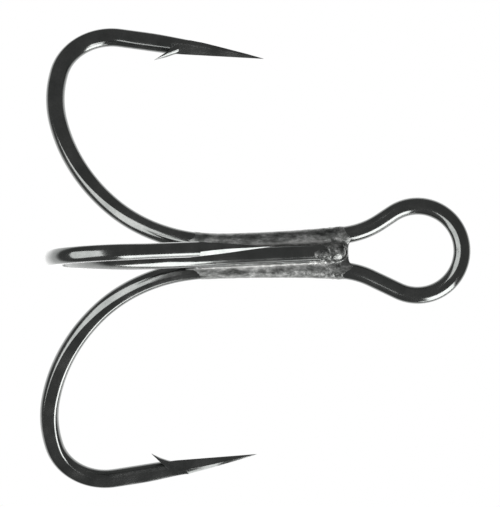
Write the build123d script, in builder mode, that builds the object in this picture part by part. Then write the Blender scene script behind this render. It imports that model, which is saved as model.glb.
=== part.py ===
from build123d import *
import os
from math import asin, cos, radians, sin, sqrt, tan

# Treble hook: two bent wires and the brazing alloy that joins them.
#   double_hook_wire  one wire, bent point - arm - shank - eye - shank - arm - point
#   single_hook_wire  the third hook, lying in the groove in front of the two shanks
#   braze_*           the four pools of alloy between the wires
# Frame: the origin is the centre of the eye, +Z runs up the shank to the top of the eye, the eye's
# ring lies in the XZ plane, and the third hook points to -Y. Everything is in mm and degrees.

# Wire
WIRE_RADIUS = 0.75
FORGED_RADIUS = 0.81  # half the arm's width in the plane of the hook, after forging
FORGED_HALF_THICKNESS = 0.695  # half the arm's thickness across its two forged flats
SWELL_LENGTH = 1.4  # stretch of shank over which round wire swells to the forged width
SWELL_SINK = 0.02  # the swelling dips this far under the round wire, so that it fades into it

# Eye, and the neck where its two legs close in to the shanks
EYE_RADIUS = 3.84  # to the middle of the wire
LEG_ANGLES = {-1: 32.0, 1: 27.0}  # slope of the leg at -X and at +X against the shank
NECK_RADII = {-1: 7.3, 1: 6.9}
FLARE_RADIUS = 145.0  # the shanks part slowly on this radius
FLARE_ANGLE = 4.0

# Shanks
SHANK_OFFSET = 1.15  # from the middle plane to each shank's middle, where they run parallel
ARM_START_Z = {-1: -16.83, 1: -18.28}

# Arms: radius and turn of each stretch of the bend, then a straight leg. The three bends differ a
# little, as hand-fed wire does.
BENDS = [(13.2, 46.0), (17.2, 33.0), (11.05, 26.0), (4.65, 85.0)]
ARM_SCALES = {"left": 0.996, "right": 0.985, "third": 0.997}
LAST_TURNS = {"left": 0.9, "right": -1.4, "third": 0.0}  # added to the last bend
LEG_LENGTH = 3.0
TAPER_START = 5.0  # the flats close in from here to the tip
ARM_ANGLE = 30.0  # the double's arms swing this far back from the plane of the eye

# Point and barb, along the leg from the end of the last bend (s) and across it towards the shank (w)
TIPS = {"left": (12.8, 0.12), "right": (12.7, 0.15), "third": (12.8, 0.15)}
OUTER_EDGES = {
    "left": [(3.1, -0.81), (8.5, -0.33)],
    "right": [(3.1, -0.8), (8.5, -0.31)],
    "third": [(5.6, -0.81), (7.6, -0.62), (9.4, -0.41), (11.4, -0.14)],
}
INNER_VALLEY = (5.3, 0.88)  # foot of the barb's outer side
INNER_BEVEL_ANGLE = 48.0
OUTER_BEVEL_ANGLES = {"left": 71.0, "right": 71.0, "third": 45.0}
OUTER_BEVEL_RIDGES = {
    "left": [(6.45, -1.8), (12.9, -0.1)],
    "right": [(6.45, -1.8), (12.9, -0.1)],
    "third": [(6.45, -0.84), (13.05, 0.185)],
}
TIP_FLAT = 0.02
BARB_TIPS = {"left": (3.36, 1.74), "right": (3.62, 1.85), "third": (3.5, 1.8)}
BARB_ROOT = (5.05, 0.62)
BARB_ROOT_SIZE = (0.67, 1.0)
BARB_TIP_SIZE = (0.04, 0.08)
NOTCH = [(4.8, 0.41), (4.12, 0.95), (4.38, 0.95)]

# Third hook's wire
THIRD_TOUCH_Z = -11.8  # it touches both shanks here
THIRD_CLEARANCE = 0.04  # film of alloy between the wires
THIRD_TILT = 2.7  # its bend leans forward
THIRD_LEAN = 1.0  # its bend leans to +X
THIRD_SKEW = 2.2  # its plane turns to -X
THIRD_TOP_Z = -6.9
THIRD_ARM_START_Z = -17.5

# Braze
SEAM_BOTTOM_Z = -18.9
SEAM_TOP_Z = -7.2
SEAM_REACH = 0.97  # part of the wire's radius that the groove pools cover
BACK_INSET = 0.45  # the back pool is this much narrower on each side at its outer face
BACK_DEPTH = 0.42  # how far the back pool stands behind the middle of the shanks
WEB_TOP_Z = -5.9
WEB_DIP = 0.35  # the web's top edge sags by this much between the shanks
WEB_HALF_THICKNESS = 0.55


def flare_start_z(side):
    """Height where one shank stops being parallel to the other."""
    angle = radians(LEG_ANGLES[side])
    flare = radians(FLARE_ANGLE)
    return (
        -EYE_RADIUS * sin(angle)
        - eye_leg_length(side) * cos(angle)
        - NECK_RADII[side] * (sin(angle) - sin(flare))
        - FLARE_RADIUS * sin(flare)
    )


def eye_leg_length(side):
    """Straight length between the ring and the neck that brings the shank to its offset."""
    angle = radians(LEG_ANGLES[side])
    flare = radians(FLARE_ANGLE)
    neck_shift = NECK_RADII[side] * (cos(flare) - cos(angle))
    flare_shift = FLARE_RADIUS * (1 - cos(flare))
    return (EYE_RADIUS * cos(angle) - SHANK_OFFSET - neck_shift - flare_shift) / sin(angle)


def shank_offset(side, z):
    """Distance of one shank's middle from the middle plane, below the neck."""
    rise = max(0.0, z - flare_start_z(side))
    flare_shift = FLARE_RADIUS * (1 - cos(asin(rise / FLARE_RADIUS)))
    drop = max(0.0, ARM_START_Z[side] - z)
    bend_radius = BENDS[0][0]
    bend_shift = bend_radius * (1 - cos(asin(drop / bend_radius)))
    return SHANK_OFFSET + flare_shift + bend_shift * cos(radians(ARM_ANGLE))


def third_depth(z):
    """How far the third wire's middle lies in front of the shanks' middle plane."""
    between = 2 * WIRE_RADIUS + THIRD_CLEARANCE
    half_gap = (shank_offset(-1, THIRD_TOUCH_Z) + shank_offset(1, THIRD_TOUCH_Z)) / 2
    touching = sqrt(between**2 - half_gap**2)
    return touching + (THIRD_TOUCH_Z - z) * tan(radians(THIRD_TILT))


def third_x(z):
    """Sideways place of the third wire's middle."""
    return (THIRD_TOUCH_Z - z) * tan(radians(THIRD_LEAN))


def bends_of(name):
    """Radius and turn of each stretch of one hook's bend."""
    bends = [(radius * ARM_SCALES[name], turn) for radius, turn in BENDS]
    last_radius, last_turn = bends[-1]
    return bends[:-1] + [(last_radius, last_turn + LAST_TURNS[name])]


def leg_point(name, s, w):
    """Point of the hook's own plane, s along the straight leg and w across it to the shank."""
    x, y, heading = 0.0, 0.0, 0.0
    for radius, turn in bends_of(name):
        x += radius * (cos(radians(heading)) - cos(radians(heading + turn)))
        y += radius * (sin(radians(heading)) - sin(radians(heading + turn)))
        heading += turn
    along, across = sin(radians(heading)), cos(radians(heading))
    return (x + s * along + w * across, y - s * across + w * along)


def forged_section(plane):
    """Round wire pressed flat on two sides; the plane's x runs in the plane of the hook."""
    with BuildSketch(plane) as section:
        Circle(FORGED_RADIUS)
        Rectangle(4 * FORGED_RADIUS, 2 * FORGED_HALF_THICKNESS, mode=Mode.INTERSECT)
    return section.sketch


def grinding_plane(start, end, facing_side, across, angle, face_side):
    """Plane through start and end that leans by angle from facing_side towards one flat."""
    ridge = (end - start).normalized()
    outward = ridge.cross(across)
    if outward.dot(facing_side) < 0:
        outward = -outward
    lean = radians(angle)
    facing = outward * cos(lean) + across * (face_side * sin(lean))
    return Plane(start, x_dir=ridge, z_dir=facing)


def make_arm(hook_plane, name):
    """Bend, straight leg, ground point and barb of one hook.

    hook_plane has its origin where the arm leaves the shank, x away from the shank and y up it.
    """
    bends = bends_of(name)
    tip_s, tip_w = TIPS[name]
    with BuildLine(hook_plane) as bend_path:
        stretch = JernArc(hook_plane.origin, -hook_plane.y_dir, *bends[0])
        for radius, turn in bends[1:]:
            stretch = JernArc(stretch @ 1, stretch % 1, radius, turn)
        leg = Line(stretch @ 1, stretch @ 1 + (stretch % 1) * LEG_LENGTH)

    def place(s, w):
        return hook_plane.from_local_coords(Vector(*leg_point(name, s, w), 0))

    leg_plane = Plane(leg @ 1, x_dir=(leg % 1).cross(hook_plane.z_dir), z_dir=leg % 1)
    inward = place(0, 1) - place(0, 0)

    with BuildPart() as arm:
        start_plane = Plane(hook_plane.origin, x_dir=hook_plane.x_dir, z_dir=-hook_plane.y_dir)
        sweep(forged_section(start_plane), path=bend_path.line)

    with BuildPart() as point:
        extrude(forged_section(leg_plane), amount=tip_s - LEG_LENGTH)
        # The hook seen on its flat side: straight inner edge, outer edge ground in short flats.
        with BuildSketch(hook_plane):
            with BuildLine():
                outline = [
                    leg_point(name, LEG_LENGTH - TIP_FLAT, INNER_VALLEY[1]),
                    leg_point(name, *INNER_VALLEY),
                    leg_point(name, tip_s, tip_w + TIP_FLAT),
                    leg_point(name, tip_s, tip_w - TIP_FLAT),
                ]
                outline += [leg_point(name, s, w) for s, w in reversed(OUTER_EDGES[name])]
                outline.append(leg_point(name, LEG_LENGTH - TIP_FLAT, -FORGED_RADIUS))
                Polyline(*outline, close=True)
            make_face()
        extrude(amount=2 * FORGED_RADIUS, both=True, mode=Mode.INTERSECT)
        # The hook seen on edge: both flats close in to the tip.
        edge_plane = Plane(place(LEG_LENGTH, 0), x_dir=leg % 1, z_dir=leg_plane.x_dir)
        with BuildSketch(edge_plane):
            reach = tip_s - LEG_LENGTH
            with BuildLine():
                side_outline = [
                    (-TIP_FLAT, FORGED_HALF_THICKNESS),
                    (TAPER_START - LEG_LENGTH, FORGED_HALF_THICKNESS),
                    (reach, TIP_FLAT),
                    (reach, -TIP_FLAT),
                    (TAPER_START - LEG_LENGTH, -FORGED_HALF_THICKNESS),
                    (-TIP_FLAT, -FORGED_HALF_THICKNESS),
                ]
                Polyline(*side_outline, close=True)
            make_face()
        extrude(amount=2 * FORGED_RADIUS, both=True, mode=Mode.INTERSECT)
        # Two bevels on the outer side and two on the inner side.
        outer_start, outer_end = (place(*spot) for spot in OUTER_BEVEL_RIDGES[name])
        inner_start = place(*INNER_VALLEY)
        inner_end = place(tip_s, tip_w + TIP_FLAT)
        across = hook_plane.z_dir
        for face_side in (-1, 1):
            angle = OUTER_BEVEL_ANGLES[name]
            plane = grinding_plane(outer_start, outer_end, -inward, across, angle, face_side)
            split(bisect_by=plane, keep=Keep.BOTTOM)
            angle = INNER_BEVEL_ANGLE
            plane = grinding_plane(inner_start, inner_end, inward, across, angle, face_side)
            split(bisect_by=plane, keep=Keep.BOTTOM)

    root = place(*BARB_ROOT)
    barb_tip = place(*BARB_TIPS[name])
    spur_direction = (barb_tip - root).normalized()
    spur_side = spur_direction.cross(hook_plane.z_dir)
    with BuildPart() as barb:
        with BuildSketch(Plane(root, x_dir=spur_side, z_dir=spur_direction)):
            Rectangle(*BARB_ROOT_SIZE)
        with BuildSketch(Plane(barb_tip, x_dir=spur_side, z_dir=spur_direction)):
            Rectangle(*BARB_TIP_SIZE)
        loft(ruled=True)

    with BuildPart() as hook:
        add(arm.part)
        add(barb.part)
        add(point.part)
        with BuildSketch(hook_plane):
            with BuildLine():
                Polyline(*[leg_point(name, s, w) for s, w in NOTCH], close=True)
            make_face()
        extrude(amount=2 * FORGED_RADIUS, both=True, mode=Mode.SUBTRACT)
    return hook.part


def make_swell(start, direction):
    """Round shank growing to the forged width just above the arm."""
    with BuildPart() as swell:
        with BuildSketch(Plane(start, z_dir=direction)):
            Circle(FORGED_RADIUS)
        with BuildSketch(Plane(start + direction * SWELL_LENGTH, z_dir=direction)):
            Circle(WIRE_RADIUS - SWELL_SINK)
        loft()
    return swell.part


def seam_section(z, side):
    """Alloy in the groove between one shank and the third wire, cut square to Z."""
    shank = (side * shank_offset(side, z), 0)
    third = (third_x(z), -third_depth(z))
    reach = SEAM_REACH * WIRE_RADIUS
    corners = [shank, (shank[0], -reach), (third[0] + side * reach, third[1]), third]
    with BuildSketch(Plane.XY.offset(z)) as section:
        with BuildLine():
            Polyline(*corners, close=True)
        make_face()
    return section.sketch


def back_section(z):
    """Alloy between the two shanks, behind the third wire, cut square to Z."""
    left = -shank_offset(-1, z)
    right = shank_offset(1, z)
    corners = [
        (left, 0),
        (third_x(z), -third_depth(z)),
        (right, 0),
        (right - BACK_INSET, BACK_DEPTH),
        (left + BACK_INSET, BACK_DEPTH),
    ]
    with BuildSketch(Plane.XY.offset(z)) as section:
        with BuildLine():
            Polyline(*corners, close=True)
        make_face()
    return section.sketch


SEAM_HEIGHTS = [SEAM_BOTTOM_Z, -15.0, THIRD_TOUCH_Z, -9.4, SEAM_TOP_Z]

# Double hook: round wire round the eye and down both shanks, then the two forged arms.
with BuildLine(Plane.XZ) as eye_path:
    run = Line((-SHANK_OFFSET, ARM_START_Z[-1]), (-SHANK_OFFSET, flare_start_z(-1)))
    run = JernArc(run @ 1, run % 1, FLARE_RADIUS, FLARE_ANGLE)
    run = JernArc(run @ 1, run % 1, NECK_RADII[-1], LEG_ANGLES[-1] - FLARE_ANGLE)
    run = Line(run @ 1, run @ 1 + (run % 1) * eye_leg_length(-1))
    run = JernArc(run @ 1, run % 1, EYE_RADIUS, -(180 + LEG_ANGLES[-1] + LEG_ANGLES[1]))
    run = Line(run @ 1, run @ 1 + (run % 1) * eye_leg_length(1))
    run = JernArc(run @ 1, run % 1, NECK_RADII[1], LEG_ANGLES[1] - FLARE_ANGLE)
    run = JernArc(run @ 1, run % 1, FLARE_RADIUS, FLARE_ANGLE)
    run = Line(run @ 1, Vector(SHANK_OFFSET, 0, ARM_START_Z[1]))

with BuildPart() as double_hook_wire:
    with BuildSketch(Plane(eye_path.line @ 0, z_dir=eye_path.line % 0)):
        Circle(WIRE_RADIUS)
    sweep(path=eye_path.line)
    for name, side in (("left", -1), ("right", 1)):
        arm_start = Vector(side * SHANK_OFFSET, 0, ARM_START_Z[side])
        outward = Vector(side * cos(radians(ARM_ANGLE)), sin(radians(ARM_ANGLE)), 0)
        add(make_swell(arm_start, Vector(0, 0, 1)))
        arm_plane = Plane(arm_start, x_dir=outward, z_dir=outward.cross(Vector(0, 0, 1)))
        add(make_arm(arm_plane, name))
double_hook_wire.part.label = "double_hook_wire"

# Third hook: a straight shank in the groove, and an arm of the same shape.
up_shank = Vector(-tan(radians(THIRD_LEAN)), tan(radians(THIRD_TILT)), 1).normalized()
third_start = Vector(
    third_x(THIRD_ARM_START_Z), -third_depth(THIRD_ARM_START_Z), THIRD_ARM_START_Z
)
third_top = Vector(third_x(THIRD_TOP_Z), -third_depth(THIRD_TOP_Z), THIRD_TOP_Z)
skewed = Vector(-sin(radians(THIRD_SKEW)), -cos(radians(THIRD_SKEW)), 0)
third_outward = (skewed - up_shank * skewed.dot(up_shank)).normalized()
third_plane = Plane(third_start, x_dir=third_outward, z_dir=third_outward.cross(up_shank))
with BuildPart() as single_hook_wire:
    with BuildSketch(Plane(third_start, z_dir=up_shank)):
        Circle(WIRE_RADIUS)
    extrude(amount=(third_top - third_start).length)
    add(make_swell(third_start, up_shank))
    add(make_arm(third_plane, "third"))
single_hook_wire.part.label = "single_hook_wire"

# Braze: each pool fills the space between the wires, so the wires are taken out of it.
with BuildPart() as braze_left_seam:
    loft([seam_section(z, -1) for z in SEAM_HEIGHTS], ruled=True)
    add(double_hook_wire.part, mode=Mode.SUBTRACT)
    add(single_hook_wire.part, mode=Mode.SUBTRACT)
braze_left_seam.part.label = "braze_left_seam"

with BuildPart() as braze_right_seam:
    loft([seam_section(z, 1) for z in SEAM_HEIGHTS], ruled=True)
    add(double_hook_wire.part, mode=Mode.SUBTRACT)
    add(single_hook_wire.part, mode=Mode.SUBTRACT)
braze_right_seam.part.label = "braze_right_seam"

with BuildPart() as braze_back_seam:
    loft([back_section(z) for z in SEAM_HEIGHTS], ruled=True)
    add(double_hook_wire.part, mode=Mode.SUBTRACT)
    add(single_hook_wire.part, mode=Mode.SUBTRACT)
braze_back_seam.part.label = "braze_back_seam"

with BuildPart() as braze_eye_web:
    web_left = -shank_offset(-1, SEAM_TOP_Z)
    web_right = shank_offset(1, SEAM_TOP_Z)
    with BuildSketch(Plane.XZ):
        with BuildLine():
            corners = [
                (web_left, WEB_TOP_Z),
                (web_left, SEAM_TOP_Z),
                (web_right, SEAM_TOP_Z),
                (web_right, WEB_TOP_Z),
            ]
            Polyline(*corners)
            ThreePointArc((web_right, WEB_TOP_Z), (0, WEB_TOP_Z - WEB_DIP), (web_left, WEB_TOP_Z))
        make_face()
    extrude(amount=WEB_HALF_THICKNESS, both=True)
    add(double_hook_wire.part, mode=Mode.SUBTRACT)
    add(single_hook_wire.part, mode=Mode.SUBTRACT)
braze_eye_web.part.label = "braze_eye_web"

os.makedirs("parts", exist_ok=True)
for piece in (
    double_hook_wire,
    single_hook_wire,
    braze_left_seam,
    braze_right_seam,
    braze_back_seam,
    braze_eye_web,
):
    export_step(piece.part, f"parts/{piece.part.label}.step")
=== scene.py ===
from math import asin, ceil, cos, pi, radians, sin, sqrt, tan

import bmesh
import bpy
import numpy as np
from mathutils import Matrix, Quaternion, Vector, kdtree, noise


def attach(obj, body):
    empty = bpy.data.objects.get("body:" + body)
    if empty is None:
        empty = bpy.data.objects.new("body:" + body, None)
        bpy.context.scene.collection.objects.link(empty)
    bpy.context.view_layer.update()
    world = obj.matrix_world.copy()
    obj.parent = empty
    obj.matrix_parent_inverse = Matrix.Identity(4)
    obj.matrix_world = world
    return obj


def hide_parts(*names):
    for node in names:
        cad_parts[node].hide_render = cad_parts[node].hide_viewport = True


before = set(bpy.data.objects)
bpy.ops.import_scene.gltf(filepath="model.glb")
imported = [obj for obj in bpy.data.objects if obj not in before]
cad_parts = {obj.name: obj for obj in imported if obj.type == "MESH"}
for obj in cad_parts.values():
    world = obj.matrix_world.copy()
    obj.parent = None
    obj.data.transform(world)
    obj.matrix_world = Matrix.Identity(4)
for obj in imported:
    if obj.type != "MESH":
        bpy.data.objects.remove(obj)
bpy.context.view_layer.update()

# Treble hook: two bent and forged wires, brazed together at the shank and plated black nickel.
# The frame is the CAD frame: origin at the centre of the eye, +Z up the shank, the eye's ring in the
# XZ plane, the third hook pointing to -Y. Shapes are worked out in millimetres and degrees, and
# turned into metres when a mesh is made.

MM = 0.001

# ---------------------------------------------------------------- Sizes, as in the CAD part

WIRE_RADIUS = 0.75
FORGED_RADIUS = 0.81
FORGED_HALF_THICKNESS = 0.695

EYE_RADIUS = 3.84
LEG_ANGLES = {-1: 32.0, 1: 27.0}
NECK_RADII = {-1: 7.3, 1: 6.9}
FLARE_RADIUS = 145.0
FLARE_ANGLE = 4.0

SHANK_OFFSET = 1.15
ARM_START_Z = {-1: -16.83, 1: -18.28}

BENDS = [(13.2, 46.0), (17.2, 33.0), (11.05, 26.0), (4.65, 85.0)]
ARM_ANGLE = 30.0
ARM_SCALES = {"left": 0.996, "right": 0.985, "third": 0.997}
LAST_TURNS = {"left": 0.9, "right": -1.4, "third": 0.0}  # added to the last bend

THIRD_TOUCH_Z = -11.8
THIRD_CLEARANCE = 0.04
THIRD_TILT = 2.7
THIRD_LEAN = 1.0
THIRD_SKEW = 2.2
THIRD_TOP_Z = -6.9
THIRD_ARM_START_Z = -17.5

# ---------------------------------------------------------------- Mesh resolution

RING_POINTS = 96
STEP = 0.22

# ---------------------------------------------------------------- Paths of the wires


def eye_leg_length(side):
    """Straight length between the eye's ring and the neck that leads to the shank."""
    angle, flare = radians(LEG_ANGLES[side]), radians(FLARE_ANGLE)
    neck_shift = NECK_RADII[side] * (cos(flare) - cos(angle))
    flare_shift = FLARE_RADIUS * (1 - cos(flare))
    return (EYE_RADIUS * cos(angle) - SHANK_OFFSET - neck_shift - flare_shift) / sin(angle)


def flare_start_z(side):
    """Height where one shank stops being parallel to the other."""
    angle, flare = radians(LEG_ANGLES[side]), radians(FLARE_ANGLE)
    return (
        -EYE_RADIUS * sin(angle)
        - eye_leg_length(side) * cos(angle)
        - NECK_RADII[side] * (sin(angle) - sin(flare))
        - FLARE_RADIUS * sin(flare)
    )


def shank_offset(side, z):
    """Distance of one shank's middle from the middle plane, below the neck."""
    rise = max(0.0, z - flare_start_z(side))
    flare_shift = FLARE_RADIUS * (1 - cos(asin(rise / FLARE_RADIUS)))
    drop = max(0.0, ARM_START_Z[side] - z)
    bend_radius = BENDS[0][0]
    bend_shift = bend_radius * (1 - cos(asin(drop / bend_radius)))
    return SHANK_OFFSET + flare_shift + bend_shift * cos(radians(ARM_ANGLE))


def third_depth(z):
    """How far the third wire's middle lies in front of the shanks' middle plane."""
    between = 2 * WIRE_RADIUS + THIRD_CLEARANCE
    half_gap = (shank_offset(-1, THIRD_TOUCH_Z) + shank_offset(1, THIRD_TOUCH_Z)) / 2
    return sqrt(between**2 - half_gap**2) + (THIRD_TOUCH_Z - z) * tan(radians(THIRD_TILT))


def third_x(z):
    """Sideways place of the third wire's middle."""
    return (THIRD_TOUCH_Z - z) * tan(radians(THIRD_LEAN))


def third_point(z):
    return Vector((third_x(z), -third_depth(z), z))


def walk(position, heading, axis, stretches, step):
    """Places and headings along straight runs (None, length) and tangent arcs (radius, turn).

    Every arc turns about the same axis, in degrees, anticlockwise when positive.
    """
    trail = [(position.copy(), heading.copy())]
    for radius, amount in stretches:
        start, way = trail[-1]
        length = amount if radius is None else radius * radians(abs(amount))
        count = max(1, ceil(length / step))
        if radius is None:
            trail += [(start + way * length * i / count, way) for i in range(1, count + 1)]
            continue
        centre = start + axis.cross(way) * (radius if amount > 0 else -radius)
        for i in range(1, count + 1):
            turn = Quaternion(axis, radians(amount) * i / count)
            trail.append((centre + turn @ (start - centre), turn @ way))
    return trail


class Hook:
    """Where one hook's arm, leg and point lie: outward is away from the shank, up is along it."""

    def __init__(self, name, start, outward, up):
        self.name, self.start, self.outward, self.up = name, start, outward, up
        self.across = outward.cross(up)
        self.bends = [(radius * ARM_SCALES[name], turn) for radius, turn in BENDS]
        self.bends[-1] = (self.bends[-1][0], self.bends[-1][1] + LAST_TURNS[name])
        trail = walk(start, -up, self.across, self.bends, STEP)
        self.leg_start, self.leg = trail[-1]
        self.inward = self.across.cross(self.leg)

    def place(self, s, w, n=0.0):
        """Point at s along the straight leg, w towards the shank and n off the hook's plane."""
        return self.leg_start + self.leg * s + self.inward * w + self.across * n

    def trail(self, leg_length):
        stretches = self.bends + [(None, leg_length)]
        return walk(self.start, -self.up, self.across, stretches, STEP)


UP = Vector((0, 0, 1))


def side_hook(name, side):
    outward = Vector((side * cos(radians(ARM_ANGLE)), sin(radians(ARM_ANGLE)), 0))
    return Hook(name, Vector((side * SHANK_OFFSET, 0, ARM_START_Z[side])), outward, UP)


def third_hook():
    up = Vector((-tan(radians(THIRD_LEAN)), tan(radians(THIRD_TILT)), 1)).normalized()
    skewed = Vector((-sin(radians(THIRD_SKEW)), -cos(radians(THIRD_SKEW)), 0))
    outward = (skewed - up * skewed.dot(up)).normalized()
    return Hook("third", third_point(THIRD_ARM_START_Z), outward, up)


LEFT, RIGHT, THIRD = side_hook("left", -1), side_hook("right", 1), third_hook()


def eye_trail():
    """From the left arm up its shank, round the eye and down to the right arm."""
    turn_axis = Vector((0, -1, 0))
    stretches = [
        (None, flare_start_z(-1) - ARM_START_Z[-1]),
        (FLARE_RADIUS, FLARE_ANGLE),
        (NECK_RADII[-1], LEG_ANGLES[-1] - FLARE_ANGLE),
        (None, eye_leg_length(-1)),
        (EYE_RADIUS, -(180 + LEG_ANGLES[-1] + LEG_ANGLES[1])),
        (None, eye_leg_length(1)),
        (NECK_RADII[1], LEG_ANGLES[1] - FLARE_ANGLE),
        (FLARE_RADIUS, FLARE_ANGLE),
        (None, flare_start_z(1) - ARM_START_Z[1]),
    ]
    return walk(LEFT.start, UP, turn_axis, stretches, STEP)


# ---------------------------------------------------------------- Sections of the wire

ROUND = 1.15  # half thickness over radius at which the press leaves round wire as it is
LEG_CUT = 2.4  # where the point's own mesh takes over from the arm's, along the leg
FLAT_SHARPNESS = 24  # of the corners beside the flats
LEG_SHARPNESS = 6
SWELL_RUN = (-1.4, 1.6)  # the wire swells to the forged width over this run past the arm's start
FLAT_RUN = (1.0, 16.0)  # and its flats deepen over this one
BEND_LENGTH = sum(radius * radians(turn) for radius, turn in BENDS)
# The press goes deepest over the bends and the corners soften towards the leg, over these runs.
DEEPER_RUN, SHALLOWER_RUN = (8, 22), (BEND_LENGTH - 8, BEND_LENGTH + 1)
SOFTER_RUN = (BEND_LENGTH - 3, BEND_LENGTH + 2)
DEEPENING = 0.02


def ease(low, high, value):
    t = min(1.0, max(0.0, (value - low) / (high - low)))
    return t * t * (3 - 2 * t)


def forged_size(along):
    """Half width, half thickness and corners of the wire, at this length past the arm's start."""
    deepest = ease(*DEEPER_RUN, along) * (1 - ease(*SHALLOWER_RUN, along))
    swell = ease(*SWELL_RUN, along)
    radius = WIRE_RADIUS + (FORGED_RADIUS + DEEPENING * deepest - WIRE_RADIUS) * swell
    flat = ease(*FLAT_RUN, along)
    thickness = FORGED_HALF_THICKNESS - DEEPENING * deepest
    softer = ease(*SOFTER_RUN, along)
    sharpness = FLAT_SHARPNESS + (LEG_SHARPNESS - FLAT_SHARPNESS) * softer
    return radius, radius * ROUND + (thickness - radius * ROUND) * flat, sharpness


def ring(centre, axes, across, size):
    """Points round one section: a circle, pressed flat where it passes the half thickness."""
    radius, half_thickness, sharpness = size
    points = []
    for i in range(RING_POINTS):
        angle = 2 * pi * i / RING_POINTS
        spoke = (axes[0] * cos(angle) + axes[1] * sin(angle)) * radius
        height = spoke.dot(across)
        kept = (1 + (abs(height) / half_thickness) ** sharpness) ** (-1 / sharpness)
        points.append(centre + spoke + across * height * (kept - 1))
    return points


def carried_axes(trail, first):
    """Two axes square to the trail at each place, carried along it without twist."""
    axes = []
    for _, heading in trail:
        first = (first - heading * first.dot(heading)).normalized()
        axes.append((first, heading.cross(first)))
    return axes


def tube(name, rings, cap_start=True, cap_end=True):
    """Closed mesh object through a list of rings of points in millimetres."""
    mesh = bmesh.new()
    rows = [[mesh.verts.new(p * MM) for p in points] for points in rings]
    count = len(rings[0])
    for low, high in zip(rows, rows[1:]):
        for i in range(count):
            j = (i + 1) % count
            mesh.faces.new((low[i], low[j], high[j], high[i]))
    if cap_start:
        mesh.faces.new(rows[0][::-1])
    if cap_end:
        mesh.faces.new(rows[-1])
    return mesh_object(name, mesh)


def mesh_object(name, mesh):
    bmesh.ops.recalc_face_normals(mesh, faces=mesh.faces)
    data = bpy.data.meshes.new(name)
    mesh.to_mesh(data)
    mesh.free()
    made = bpy.data.objects.new(name, data)
    bpy.context.scene.collection.objects.link(made)
    return made


def combine(target, tool, operation):
    """Applies one exact boolean and removes the tool."""
    modifier = target.modifiers.new("cut", "BOOLEAN")
    modifier.operation = operation
    modifier.solver = "EXACT"
    modifier.object = tool
    graph = bpy.context.evaluated_depsgraph_get()
    result = bpy.data.meshes.new_from_object(target.evaluated_get(graph))
    target.modifiers.clear()
    target.data = result
    bpy.data.objects.remove(tool)


# ---------------------------------------------------------------- Point and barb of one hook

# Along the leg from the last bend (s) and across it towards the shank (w). The outer edge, the tip,
# the barb and the bevels differ a little from hook to hook. The outer edges, the right and third
# hooks' bevels, the notch and the barb's sections differ a little from the CAD part's, which has no
# narrowing and no step where the third hook's bevels start.
TIPS = {"left": (12.8, 0.12), "right": (12.7, 0.15), "third": (12.8, 0.15)}
OUTER_EDGES = {
    "left": [(3.0, -0.83), (8.5, -0.33)],
    "right": [(2.7, -0.83), (8.5, -0.31)],
    "third": [(5.4, -0.83), (7.6, -0.62), (9.4, -0.41), (11.4, -0.14)],
}
# The outer half of each leg is drawn in by these shares at these places along it.
OUTER_NARROWING = {
    "left": [(LEG_CUT, 0.0), (8.0, 0.4)],
    "right": [(LEG_CUT, 0.0), (6.2, 0.3), (7.2, 0.0)],
    "third": [],
}
INNER_EDGE_START = (4.6, 0.9)
INNER_BEVEL_ANGLE = 48.0
FLAT_TAPER = [(4.9, 0.71), (8.2, 0.47)]  # s and half thickness
# Where the outer bevels' planes would meet, where they end, their angle from the outer edge and
# how far that ridge lies off the hook's plane.
BEVELS = {
    "left": ((6.45, -1.8), (12.9, -0.1), 71.0, 0.0),
    "right": ((6.8, -1.66), (12.9, -0.1), 71.0, 0.0),
    "third": ((6.45, -0.84), (13.05, 0.185), 45.0, -0.15),
}
POINT_BLUNTING = 0.06
POINT_SPARE = 0.5  # the wire runs on past the tip by this much before it is ground
POINT_STEP = 0.35
BLOCK_SIZE = 3, 9  # of the blocks that grind the bevels: they reach past the wire and the tip
BARB_TIPS = {"left": (3.36, 1.74), "right": (3.62, 1.85), "third": (3.5, 1.8)}
NOTCH = [(4.8, 0.41), (4.12, 0.95), (4.4, 0.95)]
SPUR_UNDER = [(5.3, 0.02), (4.8, 0.41), (4.3, 0.985)]
SPUR_UPPER = [(5.3, 0.66), (4.9, 0.88), (4.35, 1.21)]
SPUR_HALF_WIDTHS = [0.6, 0.5, 0.36, 0.03]


WELD = 3e-7  # metres: vertices of a ground edge nearer than this are one
JOIN_WELD = 2e-7  # and so are those where a point joins its arm


def plane_cut(mesh, through, normal):
    """Grinds away all that lies beyond one plane and closes the mesh there."""
    everything = mesh.verts[:] + mesh.edges[:] + mesh.faces[:]
    cut = bmesh.ops.bisect_plane(
        mesh, geom=everything, plane_co=through * MM, plane_no=normal, clear_outer=True, dist=1e-8
    )
    rim = [v for v in cut["geom_cut"] if isinstance(v, bmesh.types.BMVert)]
    bmesh.ops.remove_doubles(mesh, verts=rim, dist=WELD)
    open_edges = [e for e in mesh.edges if e.is_boundary]
    bmesh.ops.holes_fill(mesh, edges=open_edges, sides=0)


def line_cut(mesh, low, high, facing, side):
    """Cuts beyond the plane that holds the line from low to high and lies along side."""
    along = high - low
    normal = along.cross(side).normalized()
    if normal.dot(facing) < 0:
        normal = -normal
    plane_cut(mesh, low, normal)


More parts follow.
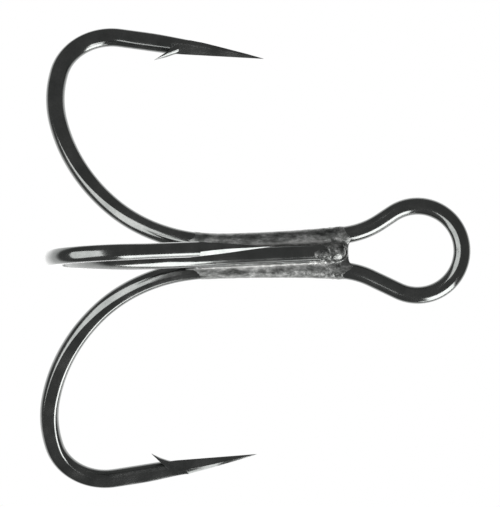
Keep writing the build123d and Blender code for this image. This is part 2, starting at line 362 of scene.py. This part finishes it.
def spur_rings(hook):
    """Sections of the lifted barb, from its root inside the wire to its tip."""
    under = SPUR_UNDER + [BARB_TIPS[hook.name]]
    upper = SPUR_UPPER + [BARB_TIPS[hook.name]]
    around, steps, spans = 48, 36, len(SPUR_UNDER)
    rings = []
    for k in range(steps + 1):
        t = spans * k / steps
        i = min(spans - 1, int(t))
        low = Vector(under[i]).lerp(Vector(under[i + 1]), t - i)
        high = Vector(upper[i]).lerp(Vector(upper[i + 1]), t - i)
        half = SPUR_HALF_WIDTHS[i] + (SPUR_HALF_WIDTHS[i + 1] - SPUR_HALF_WIDTHS[i]) * (t - i)
        rise = high - low
        if rise.length < 0.03:
            rise = Vector((0.021, 0.021))
        points = []
        for j in range(around):
            angle = 2 * pi * j / around
            lift = sin(angle) if sin(angle) > 0 else 0.08 * sin(angle)
            spot = low + rise * lift
            points.append(hook.place(spot.x, spot.y, half * cos(angle)))
        rings.append(points)
    return rings


def bevel_block(hook, start, end, facing_side, angle, face):
    """Block that grinds one face's corner off the point, beyond a plane through start and end.

    facing_side is the way the ground edge faces, and angle how far the plane leans from it.
    """
    ridge = (end - start).normalized()
    outward = hook.across.cross(ridge)
    outward = outward if outward.dot(facing_side) > 0 else -outward
    lean = radians(angle)
    facing = outward * cos(lean) + hook.across * face * sin(lean)
    beside = ridge.cross(facing)
    wide, long = BLOCK_SIZE
    corners = [(0, -wide), (0, wide), (wide, wide), (wide, -wide)]
    rings = [[start + ridge * s + facing * f + beside * b for f, b in corners] for s in (0, long)]
    return tube("bevel", rings)


def make_point(hook, axes):
    """End of one hook from the middle of its leg: ground point, notch and lifted barb."""
    tip = TIPS[hook.name]
    end = tip[0] + POINT_SPARE
    count = ceil((end - LEG_CUT) / POINT_STEP)
    shares = OUTER_NARROWING[hook.name]
    rings = []
    for i in range(count + 1):
        s = LEG_CUT + (end - LEG_CUT) * i / count
        size = forged_size(BEND_LENGTH + s)
        centre = hook.place(s, 0)
        narrowing = 0.0
        for (low, before), (high, after) in zip(shares, shares[1:]):
            narrowing += (after - before) * ease(low, high, s)
        row = ring(centre, axes, hook.across, size)
        depths = [min(0.0, (spot - centre).dot(hook.inward)) for spot in row]
        rings.append([spot - hook.inward * d * narrowing for spot, d in zip(row, depths)])
    piece = tube(hook.name + "_point", rings)
    mesh = bmesh.new()
    mesh.from_mesh(piece.data)
    outer = OUTER_EDGES[hook.name] + [tip]
    for low, high in zip(outer, outer[1:]):
        line_cut(mesh, hook.place(*low), hook.place(*high), -hook.inward, hook.across)
    inner_start, inner_end = hook.place(*INNER_EDGE_START), hook.place(tip[0] + 0.02, tip[1])
    line_cut(mesh, inner_start, inner_end, hook.inward, hook.across)
    taper = FLAT_TAPER + [(tip[0] + 0.03, 0.0)]
    for face in (-1, 1):
        for low, high in zip(taper, taper[1:]):
            near, far = hook.place(low[0], 0, face * low[1]), hook.place(high[0], 0, face * high[1])
            line_cut(mesh, near, far, hook.across * face, hook.inward)
    plane_cut(mesh, hook.place(tip[0] - POINT_BLUNTING, 0), hook.leg)
    bmesh.ops.recalc_face_normals(mesh, faces=mesh.faces)
    mesh.to_mesh(piece.data)
    mesh.free()
    ridge_start, ridge_end, angle, off_plane = BEVELS[hook.name]
    start, end = hook.place(*ridge_start, off_plane), hook.place(*ridge_end)
    inner_end = hook.place(tip[0] + 0.1, tip[1] + 0.01)
    for face in (-1, 1):
        block = bevel_block(hook, start, end, -hook.inward, angle, face)
        combine(piece, block, "DIFFERENCE")
        block = bevel_block(hook, inner_start, inner_end, hook.inward, INNER_BEVEL_ANGLE, face)
        combine(piece, block, "DIFFERENCE")
    notch = [[hook.place(s, w, n) for s, w in NOTCH] for n in (-1.5, 1.5)]
    combine(piece, tube("notch", notch), "DIFFERENCE")
    combine(piece, tube("spur", spur_rings(hook)), "UNION")
    return piece


def weld(name, body, *ends):
    """One closed mesh from an open tube and the capped pieces that continue it."""
    mesh = bmesh.new()
    mesh.from_mesh(body.data)
    for piece, hook in ends:
        cap_at = hook.place(LEG_CUT, 0)
        part = bmesh.new()
        part.from_mesh(piece.data)
        part.faces.ensure_lookup_table()
        caps = [
            f
            for f in part.faces
            if all(abs((v.co / MM - cap_at).dot(hook.leg)) < 1e-4 for v in f.verts)
        ]
        bmesh.ops.delete(part, geom=caps, context="FACES")
        part.to_mesh(piece.data)
        part.free()
        mesh.from_mesh(piece.data)
        bpy.data.objects.remove(piece)
    bpy.data.objects.remove(body)
    bmesh.ops.remove_doubles(mesh, verts=mesh.verts, dist=JOIN_WELD)
    loose = [v for v in mesh.verts if not v.link_faces]
    bmesh.ops.delete(mesh, geom=loose, context="VERTS")
    return mesh_object(name, mesh)


# ---------------------------------------------------------------- The two wires


def arm_stations(hook, leg_length):
    """Centre, heading, hook axes and size at each place down one arm, from the shank to its leg."""
    trail = hook.trail(leg_length)
    stations = []
    along = 0.0
    for i, (centre, heading) in enumerate(trail):
        if i:
            along += (centre - trail[i - 1][0]).length
        stations.append((centre, heading, hook.across, forged_size(along)))
    return stations


def shank_size(rise):
    """Size of the wire this far above the start of the arm."""
    return forged_size(-rise)


def rings_through(stations, first_axis):
    trail = [(centre, heading) for centre, heading, _, _ in stations]
    axes = carried_axes(trail, first_axis)
    rings = [ring(s[0], a, s[2], s[3]) for s, a in zip(stations, axes)]
    return rings, axes


def double_stations(leg_length):
    """Stations of the whole double wire, from the left hook's leg to the right hook's."""
    left, right = arm_stations(LEFT, leg_length), arm_stations(RIGHT, leg_length)
    left = [(c, -h, across, size) for c, h, across, size in reversed(left)]
    middle = []
    for centre, heading in eye_trail():
        hook = LEFT if centre.x < 0 else RIGHT
        size = shank_size((centre - hook.start).length)
        middle.append((centre, heading, hook.across, size))
    return left + middle[1:-1] + right


def third_stations(leg_length):
    top = third_point(THIRD_TOP_Z)
    length = (top - THIRD.start).length
    down = (THIRD.start - top) / length
    shank = walk(top, down, THIRD.across, [(None, length)], STEP)[:-1]
    stations = [(c, h, THIRD.across, shank_size((c - THIRD.start).length)) for c, h in shank]
    return stations + arm_stations(THIRD, leg_length)


def make_double_wire():
    rings, axes = rings_through(double_stations(LEG_CUT), LEFT.across)
    body = tube("double_body", rings, cap_start=False, cap_end=False)
    return weld(
        "double_hook",
        body,
        (make_point(LEFT, axes[0]), LEFT),
        (make_point(RIGHT, axes[-1]), RIGHT),
    )


def make_third_wire():
    stations = third_stations(LEG_CUT)
    rings, axes = rings_through(stations, THIRD.across)
    # The cut end of the wire is rounded over.
    top, down = stations[0][0], stations[0][1]
    end_rings = []
    for k in range(1, 7):
        turn = pi / 2 * k / 7
        shrink, lift = cos(turn), WIRE_RADIUS * 0.5 * sin(turn)
        size = (WIRE_RADIUS * shrink, WIRE_RADIUS * ROUND, FLAT_SHARPNESS)
        end_rings.append(ring(top - down * lift, axes[0], THIRD.across, size))
    body = tube("third_body", end_rings[::-1] + rings, cap_end=False)
    return weld("third_hook", body, (make_point(THIRD, axes[-1]), THIRD))


def wire_coordinates(wire, stations):
    """Stores how far along its wire each vertex lies, and where in the section, in millimetres."""
    trail = [(centre, heading) for centre, heading, _, _ in stations]
    axes = carried_axes(trail, stations[0][2])
    along = [0.0]
    for (low, _), (high, _) in zip(trail, trail[1:]):
        along.append(along[-1] + (high - low).length)
    tree = kdtree.KDTree(len(trail))
    for i, (centre, _) in enumerate(trail):
        tree.insert(centre, i)
    tree.balance()
    values = []
    for v in wire.data.vertices:
        spot = v.co / MM
        centre, i, _ = tree.find(spot)
        off = spot - centre
        values += (along[i] + off.dot(trail[i][1]), off.dot(axes[i][0]), off.dot(axes[i][1]))
    layer = wire.data.attributes.new("wire_place", "FLOAT_VECTOR", "POINT")
    layer.data.foreach_set("vector", values)


double_wire = make_double_wire()
third_wire = make_third_wire()
wire_coordinates(double_wire, double_stations(TIPS["left"][0]))
wire_coordinates(third_wire, third_stations(TIPS["third"][0]))
for wire, node in ((double_wire, "double_hook_wire"), (third_wire, "single_hook_wire")):
    wire.data.shade_smooth()
    wire.data.set_sharp_from_angle(angle=radians(28))
    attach(wire, "root")
    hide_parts(node)

# ---------------------------------------------------------------- Braze

BRAZE_LOW, BRAZE_HIGH = -20.4, -5.5
BRAZE_STEP = 0.07
BRAZE_AROUND = 144
BRAZE_FILM = 0.016
BRAZE_SUNK = -0.05
FILLET_BLEND = 0.5
WEB_HALF = 0.42
LOW_SAG, HIGH_SAG = 1.3, 0.4  # how far the braze draws back between the wires at its ends
FILM_ENDS = {"left": (-19.6, -6.0), "right": (-18.95, -6.15), "third": (-18.4, -6.9)}
BARE_FRONT_TOP = -8.4  # below this the third wire's front has no braze on it
BRIDGE_GAP = 0.12  # the braze is a bridge, not a film, this far from the nearest wire
BRIDGE_SWELL = 0.01
SLEEVE_MIDDLE = (-20.2, -18.0, -8.0, -6.4), (-0.25, -0.35, -0.4, 0.0)  # heights, and its place in Y
WEB_REACH = (-7.0, -6.0), (1.2, 1.35)  # heights, and half the web's width
SLEEVE_LIMITS = 0.02, 3.6  # the sleeve's surface is looked for between these distances
OPEN_GAP = 0.08  # the draw back is full this far from the nearest wire
LOW_SAG_RUN, HIGH_SAG_RUN = 3.5, 2.0
CAP_RINGS = (0.85, 0.7, 0.5, 0.3, 0.12)  # shares of the way from the cap's hub to its rim
CAP_INSET = 0.05
CAP_TUCK = 0.3  # the sleeve draws in by this much at its two ends
# Painted highlight: the braze in the front grooves, under the lumps, is painted paler where the fillets
# would catch light.
PAINTED_HIGHLIGHT_TOP = (-8.4, -7.2)  # the painted highlight on the braze in the grooves fades out over this run
PAINTED_HIGHLIGHT_FRONT = (-0.2, 0.2)  # and over this one, from behind the shanks to in front of them
PAINTED_HIGHLIGHT_STRENGTH = 0.42


def track(stations):
    """Rows of height, place, heading and radius along one wire, sorted by height."""
    rows = [(c.z, c.x, c.y, h.x, h.y, h.z, size[0]) for c, h, _, size in stations]
    return np.array(sorted(rows))


def side_track(hook, side):
    low = [s for s in arm_stations(hook, 0.0) if s[0].z > -22.5 and s[1].z < -0.5]
    high = [
        (c, h, hook.across, shank_size((c - hook.start).length))
        for c, h in eye_trail()
        if c.x * side > 0 and hook.start.z < c.z < -3.5 and abs(h.z) > 0.5
    ]
    return track(low + high)


def third_track():
    low = [s for s in arm_stations(THIRD, 0.0) if s[0].z > -22.5 and s[1].z < -0.5]
    top = third_point(THIRD_TOP_Z)
    return track(low + [(top, THIRD.start - top, THIRD.across, (WIRE_RADIUS, 0))])


def wire_distance(rows, x, y, z):
    """Distance of points from the surface of one wire, taken across the wire."""
    cx, cy, hx, hy, hz, radius = (np.interp(z, rows[:, 0], rows[:, k]) for k in range(1, 7))
    size = np.sqrt(hx * hx + hy * hy + hz * hz)
    dx, dy = x - cx, y - cy
    along = (dx * hx + dy * hy) / size
    above = np.maximum(0.0, z - rows[-1, 0])
    return np.sqrt(np.maximum(0.0, dx * dx + dy * dy - along * along) + above * above) - radius


def blended(a, b, width):
    """Smaller of two distances, with a fillet where they are alike."""
    mix = np.maximum(0.0, width - np.abs(a - b)) / width
    return np.minimum(a, b) - mix * mix * width / 4


def edge_fade(value, low, high, soft):
    return min(ease(low - soft, low + soft, value), 1 - ease(high - soft, high + soft, value))


def braze_film(spot, nearest):
    """Thickness of the braze over the nearest wire: below nothing where the braze has not run."""
    coarse = noise.noise(spot * 0.9 + Vector((3, 7, 1)))
    fine = noise.fractal(spot * 2.6, 0.6, 2.0, 4)
    outer = min(1.0, max(-1.0, (abs(spot.x) - SHANK_OFFSET) / WIRE_RADIUS))
    low, high = FILM_ENDS[nearest]
    ragged = spot.z + 0.4 * coarse + 0.25 * fine
    reach = edge_fade(ragged, low + 0.5 * outer, high - 0.35 * outer, 0.45)
    if nearest == "third" and spot.y < -third_depth(spot.z) - 0.3:
        reach *= ease(BARE_FRONT_TOP - 0.6, BARE_FRONT_TOP + 0.6, spot.z + 0.6 * coarse)
    lumps = ease(-9.0, -6.6, spot.z)
    film = BRAZE_FILM + 0.012 * coarse + (0.014 + 0.045 * lumps) * fine + 0.02 * lumps
    return BRAZE_SUNK + (film - BRAZE_SUNK) * sqrt(reach)


def sleeve_surface(tracks, heights):
    """Places on the outside of wires and web, and their distance from each wire, by height and angle.

    Between the wires the places are drawn back from the sleeve's two ends.
    """
    angles = np.arange(BRAZE_AROUND) * 2 * pi / BRAZE_AROUND
    z = np.repeat(heights[:, None], BRAZE_AROUND, axis=1)
    way_x, way_y = np.cos(angles)[None, :], np.sin(angles)[None, :]
    centre_y = np.interp(z, *SLEEVE_MIDDLE)

    def distances(x, y):
        return {name: wire_distance(rows, x, y, z) for name, rows in tracks.items()}

    def surface(x, y):
        d = distances(x, y)
        reach = np.interp(z, *WEB_REACH)
        web = np.sqrt(np.maximum(0.0, np.abs(x) - reach) ** 2 + y * y) - WEB_HALF
        pair = blended(blended(d["left"], web, FILLET_BLEND), d["right"], FILLET_BLEND)
        return blended(pair, d["third"], FILLET_BLEND)

    level = z.copy()
    for _ in range(3):
        near, far = (np.full(z.shape, limit) for limit in SLEEVE_LIMITS)
        for _ in range(24):
            middle = (near + far) / 2
            inside = surface(middle * way_x, centre_y + middle * way_y) < 0
            near, far = np.where(inside, middle, near), np.where(inside, far, middle)
        radius = (near + far) / 2
        x, y = radius * way_x, centre_y + radius * way_y
        d = distances(x, y)
        open_gap = np.clip(np.min(np.stack(list(d.values())), axis=0) / OPEN_GAP, 0, 1)
        open_gap = open_gap * open_gap * (3 - 2 * open_gap)
        near_low = np.clip((BRAZE_LOW + LOW_SAG_RUN - level) / LOW_SAG_RUN, 0, 1)
        near_high = np.clip((level - BRAZE_HIGH + HIGH_SAG_RUN) / HIGH_SAG_RUN, 0, 1)
        z = level + open_gap * (LOW_SAG * near_low - HIGH_SAG * near_high)
    return x, y, z, radius, centre_y, (way_x[0], way_y[0]), np.stack([d[name] for name in tracks])


def painted_highlight_share(spot, bridge):
    """Share of painted highlight at a place: it is painted in the front grooves, under the lumps."""
    return bridge * (1 - ease(*PAINTED_HIGHLIGHT_TOP, spot.z)) * ease(*PAINTED_HIGHLIGHT_FRONT, -spot.y)


def close_sleeve(mesh, row, hub):
    """Caps one end of the sleeve with rings that drop quickly to the hub."""
    outer = row
    for part in CAP_RINGS:
        inner = [mesh.verts.new(hub.lerp(v.co, part)) for v in row]
        for v, rim in zip(inner, row):
            v.co.z = hub.z + (rim.co.z - hub.z) * part**5
        for k in range(BRAZE_AROUND):
            n = (k + 1) % BRAZE_AROUND
            mesh.faces.new((outer[k], outer[n], inner[n], inner[k]))
        outer = inner
    mesh.faces.new(outer)


def make_braze():
    """Closed sleeve of braze round the three shanks, sunk into the wires where it has not run."""
    tracks = {"left": side_track(LEFT, -1), "right": side_track(RIGHT, 1), "third": third_track()}
    names = list(tracks)
    heights = np.arange(BRAZE_LOW, BRAZE_HIGH, BRAZE_STEP)
    x, y, z, radius, centre_y, ways, stack = sleeve_surface(tracks, heights)
    nearest = np.argmin(stack, axis=0)
    gap = np.min(stack, axis=0)
    mesh = bmesh.new()
    # Per-vertex share of the painted highlight on the braze.
    highlight_layer = mesh.verts.layers.float.new("painted_highlight")
    rows = []
    last = len(heights) - 1
    for i in range(len(heights)):
        edge = min(i, last - i) * BRAZE_STEP
        tuck = CAP_TUCK * (1 - sqrt(1 - (1 - min(1.0, edge / CAP_TUCK)) ** 2))
        row = []
        for k in range(BRAZE_AROUND):
            spot = Vector((x[i, k], y[i, k], z[i, k]))
            film = braze_film(spot, names[nearest[i, k]])
            bridge = ease(0.0, BRIDGE_GAP, gap[i, k])
            film += (max(film, 0.0) + BRIDGE_SWELL - film) * bridge
            size = radius[i, k] + film - tuck
            spot.x, spot.y = size * ways[0][k], centre_y[i, k] + size * ways[1][k]
            row.append(mesh.verts.new(spot * MM))
            row[-1][highlight_layer] = painted_highlight_share(spot, bridge)
        rows.append(row)
    for low, high in zip(rows, rows[1:]):
        for k in range(BRAZE_AROUND):
            n = (k + 1) % BRAZE_AROUND
            mesh.faces.new((low[k], low[n], high[n], high[k]))
    low_height = BRAZE_LOW + LOW_SAG + CAP_INSET
    high_height = BRAZE_HIGH - HIGH_SAG - CAP_INSET
    close_sleeve(mesh, rows[0], Vector((0, centre_y[0, 0], low_height)) * MM)
    close_sleeve(mesh, rows[-1], Vector((0, centre_y[-1, 0], high_height)) * MM)
    return mesh_object("braze", mesh)


braze = make_braze()
braze.data.shade_smooth()
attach(braze, "root")
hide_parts("braze_left_seam", "braze_right_seam", "braze_back_seam", "braze_eye_web")

# ---------------------------------------------------------------- Camera

VIEW_DISTANCE = 800.0
FRAME_LONG_SIDE = 43.7  # width of the view at the eye's plane
VIEW_CENTRE = Vector((-0.16, 0, -14.43))
VIEW_ROLL = radians(1.6)

camera_data = bpy.data.cameras.new("camera")
camera = bpy.data.objects.new("camera", camera_data)
bpy.context.scene.collection.objects.link(camera)
bpy.context.scene.camera = camera
right = Vector((sin(VIEW_ROLL), 0, cos(VIEW_ROLL)))
up = Vector((-cos(VIEW_ROLL), 0, sin(VIEW_ROLL)))
back = Vector((0, -1, 0))
turn = Matrix((right, up, back)).transposed().to_4x4()
camera.matrix_world = Matrix.Translation((VIEW_CENTRE + back * VIEW_DISTANCE) * MM) @ turn
camera_data.sensor_width = 36.0
camera_data.lens = 36.0 * VIEW_DISTANCE / FRAME_LONG_SIDE
camera_data.clip_start, camera_data.clip_end = 0.1, 5.0

# ---------------------------------------------------------------- Studio

scene = bpy.context.scene
scene.view_settings.view_transform = "Standard"


def node(tree, kind, place, **settings):
    """Adds a node; settings are its properties, or its inputs when the name is one."""
    made = tree.nodes.new(kind)
    made.location = place
    for key, value in settings.items():
        if hasattr(made, key):
            setattr(made, key, value)
        else:
            made.inputs[key].default_value = value
    return made


def make_world():
    """White to the camera; in reflections a dark room with the white backdrop behind the object."""
    world = bpy.data.worlds.new("studio")
    scene.world = world
    world.use_nodes = True
    tree = world.node_tree
    tree.nodes.clear()
    link = tree.links.new
    way = node(tree, "ShaderNodeTexCoord", (-900, 0))
    split = node(tree, "ShaderNodeSeparateXYZ", (-700, 0))
    ramp = node(tree, "ShaderNodeMapRange", (-500, 0), interpolation_type="SMOOTHSTEP")
    for key, value in (("From Min", 0.3), ("From Max", 0.58), ("To Min", ROOM), ("To Max", BACKDROP)):
        ramp.inputs[key].default_value = value
    rays = node(tree, "ShaderNodeLightPath", (-500, 300))
    room = node(tree, "ShaderNodeBackground", (-250, -100))
    seen = node(tree, "ShaderNodeBackground", (-250, 100))
    mix = node(tree, "ShaderNodeMixShader", (0, 0))
    out = node(tree, "ShaderNodeOutputWorld", (200, 0))
    room.inputs["Color"].default_value = (1, 1, 1, 1)
    seen.inputs["Color"].default_value = (1, 1, 1, 1)
    link(way.outputs["Generated"], split.inputs[0])
    link(split.outputs["Y"], ramp.inputs["Value"])
    link(ramp.outputs["Result"], room.inputs["Strength"])
    link(rays.outputs["Is Camera Ray"], mix.inputs["Fac"])
    link(room.outputs[0], mix.inputs[1])
    link(seen.outputs[0], mix.inputs[2])
    link(mix.outputs[0], out.inputs["Surface"])


def soft_box(name, lean, turn, spread, radiance, distance=500.0):
    """Rectangular soft light facing the hook, placed by the direction it is seen in.

    lean is that direction's angle from the front (-Y), turn goes round the front from up the shank
    (+Z) towards the left hook, and spread is the light's half angles along each of the two.
    """
    lean, turn = radians(lean), radians(turn)
    light = bpy.data.lights.new(name, "AREA")
    light.shape = "RECTANGLE"
    light.size = 2 * distance * MM * tan(radians(spread[0]))
    light.size_y = 2 * distance * MM * tan(radians(spread[1]))
    light.energy = radiance * pi * light.size * light.size_y
    made = bpy.data.objects.new(name, light)
    made.visible_camera = False
    scene.collection.objects.link(made)
    away = Vector((-sin(lean) * sin(turn), -cos(lean), sin(lean) * cos(turn)))
    side = Vector((-cos(lean) * sin(turn), sin(lean), cos(lean) * cos(turn)))
    basis = Matrix((side, away.cross(side), away)).transposed().to_4x4()
    made.matrix_world = Matrix.Translation((VIEW_CENTRE + away * distance) * MM) @ basis


ROOM, BACKDROP = 0.21, 1.6
make_world()
soft_box("low_light", 48, 186, (30, 33), 3.3)
soft_box("side_light", 78, -60, (27, 17), 6.5)
soft_box("rim_light", 97, -81, (7, 5), 4.0)

FLOOR_HEIGHT, FLOOR_RADIUS = -48.0, 260.0


def make_floor():
    """Plain pale disc under the hook.

    The low light is under it, so it blocks no light and the hook's gloss doesn't show it.
    """
    mesh = bmesh.new()
    bmesh.ops.create_circle(mesh, cap_ends=True, segments=96, radius=FLOOR_RADIUS * MM)
    bmesh.ops.translate(mesh, verts=mesh.verts, vec=Vector((0, 0, FLOOR_HEIGHT)) * MM)
    floor = mesh_object("floor", mesh)
    floor.visible_glossy = False
    floor.visible_shadow = False
    pale = bpy.data.materials.new("pale_floor")
    pale.use_nodes = True
    shader = pale.node_tree.nodes["Principled BSDF"]
    shader.inputs["Base Color"].default_value = (0.78, 0.78, 0.77, 1)
    shader.inputs["Roughness"].default_value = 0.85
    floor.data.materials.append(pale)


make_floor()

# ---------------------------------------------------------------- Materials


def socket(shader_node, name, value):
    shader_node.inputs[name].default_value = value


def ramp_node(tree, place, stops, interpolation="LINEAR"):
    """Colour ramp with the given (position, colour or grey) stops."""
    made = tree.nodes.new("ShaderNodeValToRGB")
    made.location = place
    made.color_ramp.interpolation = interpolation
    elements = made.color_ramp.elements
    while len(elements) < len(stops):
        elements.new(0.5)
    for element, (position, colour) in zip(elements, stops):
        element.position = position
        element.color = colour if isinstance(colour, tuple) else (colour, colour, colour, 1)
    return made


def noise_node(tree, place, vector, scale, detail=4.0, roughness=0.55, stretch=None):
    """Noise over a vector socket, squeezed along its axes by stretch when given."""
    if stretch:
        squeeze = tree.nodes.new("ShaderNodeVectorMath")
        squeeze.operation = "MULTIPLY"
        squeeze.location = (place[0] - 180, place[1])
        squeeze.inputs[1].default_value = stretch
        tree.links.new(vector, squeeze.inputs[0])
        vector = squeeze.outputs[0]
    made = tree.nodes.new("ShaderNodeTexNoise")
    made.location = place
    socket(made, "Scale", scale)
    socket(made, "Detail", detail)
    socket(made, "Roughness", roughness)
    tree.links.new(vector, made.inputs["Vector"])
    return made.outputs["Fac"]


def wire_material():
    """Glossy black nickel: thin plating over drawn wire, with faint drawing lines and handling wear."""
    made = bpy.data.materials.new("black_nickel")
    made.use_nodes = True
    tree = made.node_tree
    link = tree.links.new
    shader = tree.nodes["Principled BSDF"]
    place = node(tree, "ShaderNodeAttribute", (-1500, 0), attribute_name="wire_place")
    where = place.outputs["Vector"]
    cloud = noise_node(tree, (-1000, 300), where, 0.55, 5.0)
    grain = noise_node(tree, (-1000, 50), where, 7.0, 3.0)
    lines = noise_node(tree, (-1000, -200), where, 9.0, 3.0, stretch=(0.05, 1, 1))
    tone = ramp_node(tree, (-600, 300), [(0.25, (0.13, 0.137, 0.133, 1)), (0.75, (0.205, 0.21, 0.205, 1))])
    link(cloud, tone.inputs["Fac"])
    speckle = ramp_node(tree, (-600, 50), [(0.3, 0.8), (0.7, 1.0)])
    link(grain, speckle.inputs["Fac"])
    colour = node(tree, "ShaderNodeMix", (-300, 200), data_type="RGBA", blend_type="MULTIPLY")
    colour.inputs["Factor"].default_value = 1.0
    link(tone.outputs["Color"], colour.inputs["A"])
    link(speckle.outputs["Color"], colour.inputs["B"])
    link(colour.outputs["Result"], shader.inputs["Base Color"])
    gloss = ramp_node(tree, (-600, -200), [(0.3, 0.11), (0.75, 0.21)])
    link(cloud, gloss.inputs["Fac"])
    link(gloss.outputs["Color"], shader.inputs["Roughness"])
    relief = node(tree, "ShaderNodeBump", (-300, -350))
    socket(relief, "Strength", 0.05)
    socket(relief, "Distance", 0.00002)
    link(lines, relief.inputs["Height"])
    link(relief.outputs["Normal"], shader.inputs["Normal"])
    socket(shader, "Metallic", 1.0)
    return made


def braze_material():
    """Silver-grey braze, mottled and matt, drawn out along the wires, with a painted highlight in the
    front grooves.
    """
    made = bpy.data.materials.new("braze_metal")
    made.use_nodes = True
    tree = made.node_tree
    link = tree.links.new
    shader = tree.nodes["Principled BSDF"]
    place = node(tree, "ShaderNodeTexCoord", (-1500, 0))
    where = place.outputs["Object"]
    blotch = noise_node(tree, (-1000, 300), where, 1900.0, 7.0, 0.66, stretch=(1, 1, 0.5))
    specks = noise_node(tree, (-1000, 0), where, 6000.0, 3.0, 0.6, stretch=(1, 1, 0.7))
    tone = ramp_node(
        tree,
        (-600, 300),
        [(0.34, (0.1, 0.104, 0.1, 1)), (0.52, (0.24, 0.246, 0.24, 1)), (0.68, (0.54, 0.545, 0.535, 1))],
    )
    link(blotch, tone.inputs["Fac"])
    speckle = ramp_node(tree, (-600, 0), [(0.3, 0.7), (0.65, 1.0)])
    link(specks, speckle.inputs["Fac"])
    colour = node(tree, "ShaderNodeMix", (-300, 200), data_type="RGBA", blend_type="MULTIPLY")
    colour.inputs["Factor"].default_value = 1.0
    link(tone.outputs["Color"], colour.inputs["A"])
    link(speckle.outputs["Color"], colour.inputs["B"])
    # Painted highlight: the front grooves are mixed towards pale grey by the highlight share.
    painted_highlight = node(tree, "ShaderNodeAttribute", (-600, 600), attribute_name="painted_highlight")
    highlight_amount = node(tree, "ShaderNodeMath", (-400, 600), operation="MULTIPLY")
    highlight_amount.inputs[1].default_value = PAINTED_HIGHLIGHT_STRENGTH
    highlight_mix = node(tree, "ShaderNodeMix", (-150, 400), data_type="RGBA")
    highlight_mix.inputs["B"].default_value = (0.85, 0.85, 0.83, 1)
    link(painted_highlight.outputs["Fac"], highlight_amount.inputs[0])
    link(highlight_amount.outputs[0], highlight_mix.inputs["Factor"])
    link(colour.outputs["Result"], highlight_mix.inputs["A"])
    link(highlight_mix.outputs["Result"], shader.inputs["Base Color"])
    gloss = ramp_node(tree, (-600, -250), [(0.35, 0.3), (0.7, 0.55)])
    link(blotch, gloss.inputs["Fac"])
    link(gloss.outputs["Color"], shader.inputs["Roughness"])
    relief = node(tree, "ShaderNodeBump", (-300, -400))
    socket(relief, "Strength", 0.5)
    socket(relief, "Distance", 0.00004)
    link(specks, relief.inputs["Height"])
    link(relief.outputs["Normal"], shader.inputs["Normal"])
    socket(shader, "Metallic", 1.0)
    return made


nickel = wire_material()
for wire in (double_wire, third_wire):
    wire.data.materials.clear()
    wire.data.materials.append(nickel)
braze.data.materials.append(braze_material())
